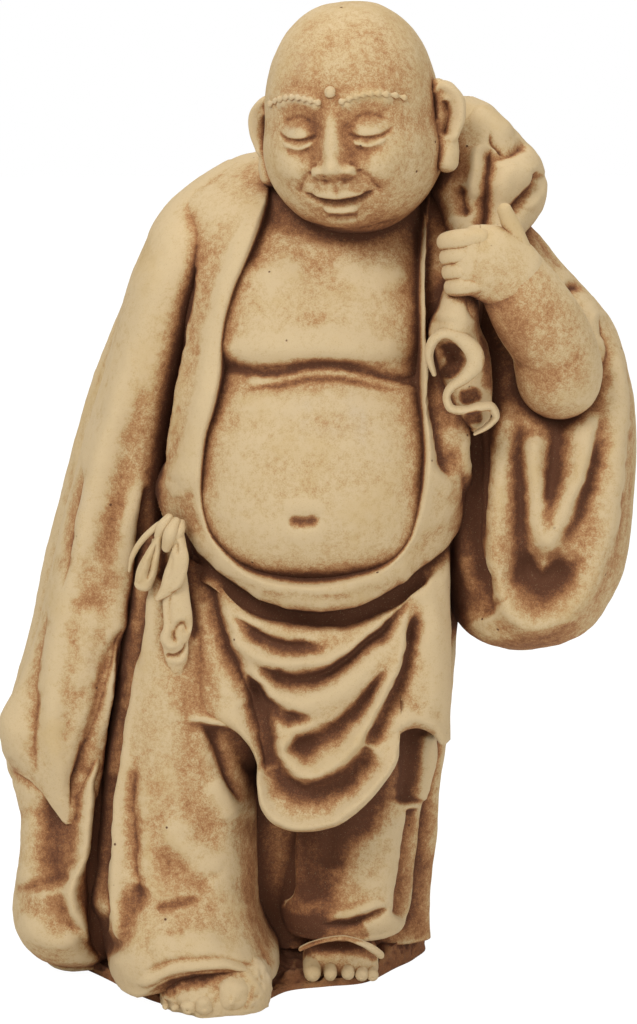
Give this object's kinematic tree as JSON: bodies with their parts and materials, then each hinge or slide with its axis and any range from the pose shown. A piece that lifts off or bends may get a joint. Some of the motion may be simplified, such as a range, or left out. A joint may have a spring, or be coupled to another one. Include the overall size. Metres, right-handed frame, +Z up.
{
  "type": "buddha garden statue",
  "caption": "Standing buddha garden figure in cast stone: open robe over a bare belly, one long hanging sleeve, and a sack held on the shoulder by the raised hand.",
  "frame": {"origin": "on the ground, under the middle of the rock base, 46 mm to the figure's right of the middle of its overall width", "axes": "+Z up, -Y to the front of the figure, +X to the figure's own left (the viewer's right)"},
  "size_m": [0.3947, 0.2042, 0.6009],
  "materials": {
    "cast_stone": "matte",
    "base_stone": "matte",
    "rod_steel": "satin"
  },
  "bodies": {
    "root": {"plinth": "base_stone", "right_foot": "cast_stone", "left_foot": "cast_stone", "right_leg_skirt": "cast_stone", "left_leg_skirt": "cast_stone", "apron_drape": "cast_stone", "torso": "cast_stone", "robe_body": "cast_stone", "right_sleeve": "cast_stone", "robe_tail": "cast_stone", "left_sleeve": "cast_stone", "left_forearm": "cast_stone", "left_hand": "cast_stone", "sack": "cast_stone", "sack_tail": "cast_stone", "head": "cast_stone", "right_ear": "cast_stone", "left_ear": "cast_stone", "brow_beads_right": "cast_stone", "brow_beads_left": "cast_stone", "urna_bead": "cast_stone", "sash_bow": "cast_stone", "reinforcing_rod_right": "rod_steel", "reinforcing_rod_left": "rod_steel"}
  },
  "joints": []
}
